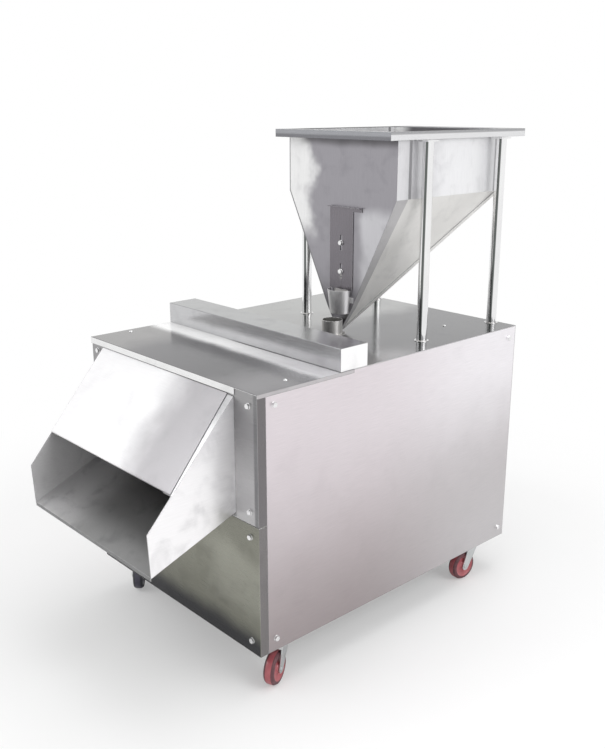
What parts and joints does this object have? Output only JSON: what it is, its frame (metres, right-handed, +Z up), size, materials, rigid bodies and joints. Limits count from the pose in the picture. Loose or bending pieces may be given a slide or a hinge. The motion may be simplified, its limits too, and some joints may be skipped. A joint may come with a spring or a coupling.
{
  "type": "nut slicer",
  "caption": "Nut slicing machine: stainless cabinet on swivel casters, raised funnel hopper with gate and feed tube over a rotary knife disc, and a hooded discharge chute in front.",
  "frame": {"origin": "on the floor, under the middle of the overall width and length", "axes": "+Z up, the chute faces -Y, +X to the right seen from behind the machine looking at the chute's back; the hopper stands towards +X"},
  "size_m": [0.753, 1.372, 1.375],
  "materials": {
    "panel_steel": "brushed stainless sheet",
    "cover_steel": "polished stainless sheet",
    "hopper_steel": "satin stainless sheet",
    "polished_tube": "polished stainless tube",
    "frame_steel": "plain stainless tube",
    "drum_steel": "food grade stainless",
    "machined_steel": "turned and ground",
    "grey_iron": "cast and turned",
    "motor_paint": "enamel",
    "belt_rubber": "matt",
    "bolt_steel": "bright stainless",
    "zinc": "zinc plated pressing",
    "wheel_red": "moulded polyurethane, darker tread"
  },
  "bodies": {
    "cabinet": {"bar_cover": "cover_steel", "bearing_housing": "grey_iron", "caster_plates": "zinc", "chute_cheek_left": "panel_steel", "chute_cheek_right": "panel_steel", "chute_floor": "panel_steel", "drive_belts": "belt_rubber", "drive_deck": "frame_steel", "drum_lid": "drum_steel", "feed_tube": "polished_tube", "frame_bottom_cross_front": "frame_steel", "frame_bottom_cross_rear": "frame_steel", "frame_bottom_rail_left": "frame_steel", "frame_bottom_rail_right": "frame_steel", "frame_deck_rail_left": "frame_steel", "frame_deck_rail_right": "frame_steel", "frame_post_front_left": "frame_steel", "frame_post_front_right": "frame_steel", "frame_post_rear_left": "frame_steel", "frame_post_rear_right": "frame_steel", "frame_top_cross": "frame_steel", "frame_top_rail_left": "frame_steel", "frame_top_rail_right": "frame_steel", "front_panel_lower": "panel_steel", "front_panel_upper": "panel_steel", "front_top_cover": "cover_steel", "hex_bolts": "bolt_steel", "hood_plate": "cover_steel", "hopper_body": "hopper_steel", "hopper_post_front_left": "polished_tube", "hopper_post_front_right": "polished_tube", "hopper_post_rear_left": "polished_tube", "hopper_post_rear_right": "polished_tube", "hopper_rim": "hopper_steel", "inner_slide": "panel_steel", "motor_body": "motor_paint", "outlet_spout": "hopper_steel", "rear_panel": "panel_steel", "rear_top_cover": "cover_steel", "shaft_bearings": "machined_steel", "side_panel_left": "panel_steel", "side_panel_right": "panel_steel", "slicing_drum": "drum_steel"},
    "gate": {"gate_plate": "hopper_steel"},
    "cutter": {"cutter_shaft": "machined_steel", "cutter_disc": "drum_steel", "knives": "machined_steel", "disc_nut": "machined_steel", "ejector": "drum_steel", "cutter_pulley": "grey_iron"},
    "motor_rotor": {"motor_shaft": "machined_steel", "motor_pulley": "grey_iron"},
    "swivel_front_right": {"caster_fork_front_right": "zinc"},
    "wheel_front_right": {"caster_wheel_front_right": "wheel_red"},
    "swivel_rear_right": {"caster_fork_rear_right": "zinc"},
    "wheel_rear_right": {"caster_wheel_rear_right": "wheel_red"},
    "swivel_front_left": {"caster_fork_front_left": "zinc"},
    "wheel_front_left": {"caster_wheel_front_left": "wheel_red"},
    "swivel_rear_left": {"caster_fork_rear_left": "zinc"},
    "wheel_rear_left": {"caster_wheel_rear_left": "wheel_red"}
  },
  "joints": [
    {"name": "cutter_spin", "type": "hinge", "parent": "cabinet", "child": "cutter", "pos_m": [-0.045, 0.104, 0.6], "axis": [0, 0, 1], "continuous": true},
    {"name": "motor_spin", "type": "hinge", "parent": "cabinet", "child": "motor_rotor", "pos_m": [-0.045, 0.416, 0.56], "axis": [0, 0, 1], "continuous": true},
    {"name": "gate_slide", "type": "slide", "parent": "cabinet", "child": "gate", "axis": [0, 0, 1], "range_m": [-0.018, 0.018]},
    {"name": "swivel_front_right_turn", "type": "hinge", "parent": "cabinet", "child": "swivel_front_right", "pos_m": [0.332, -0.337, 0.1], "axis": [0, 0, 1], "continuous": true},
    {"name": "wheel_front_right_roll", "type": "hinge", "parent": "swivel_front_right", "child": "wheel_front_right", "pos_m": [0.34383, -0.36238, 0.045], "axis": [0.9063, 0.4226, 0], "continuous": true},
    {"name": "swivel_rear_right_turn", "type": "hinge", "parent": "cabinet", "child": "swivel_rear_right", "pos_m": [0.332, 0.456, 0.1], "axis": [0, 0, 1], "continuous": true},
    {"name": "wheel_rear_right_roll", "type": "hinge", "parent": "swivel_rear_right", "child": "wheel_rear_right", "pos_m": [0.32907, 0.42815, 0.045], "axis": [0.9945, -0.1045, 0], "continuous": true},
    {"name": "swivel_front_left_turn", "type": "hinge", "parent": "cabinet", "child": "swivel_front_left", "pos_m": [-0.332, -0.337, 0.1], "axis": [0, 0, 1], "continuous": true},
    {"name": "wheel_front_left_roll", "type": "hinge", "parent": "swivel_front_left", "child": "wheel_front_left", "pos_m": [-0.31055, -0.355, 0.045], "axis": [0.6428, 0.766, 0], "continuous": true},
    {"name": "swivel_rear_left_turn", "type": "hinge", "parent": "cabinet", "child": "swivel_rear_left", "pos_m": [-0.332, 0.456, 0.1], "axis": [0, 0, 1], "continuous": true},
    {"name": "wheel_rear_left_roll", "type": "hinge", "parent": "swivel_rear_left", "child": "wheel_rear_left", "pos_m": [-0.32618, 0.42861, 0.045], "axis": [0.9781, 0.2079, 0], "continuous": true}
  ],
  "couplings": [
    {"joint": "motor_spin", "follows": "cutter_spin", "ratio": 1.3774}
  ]
}
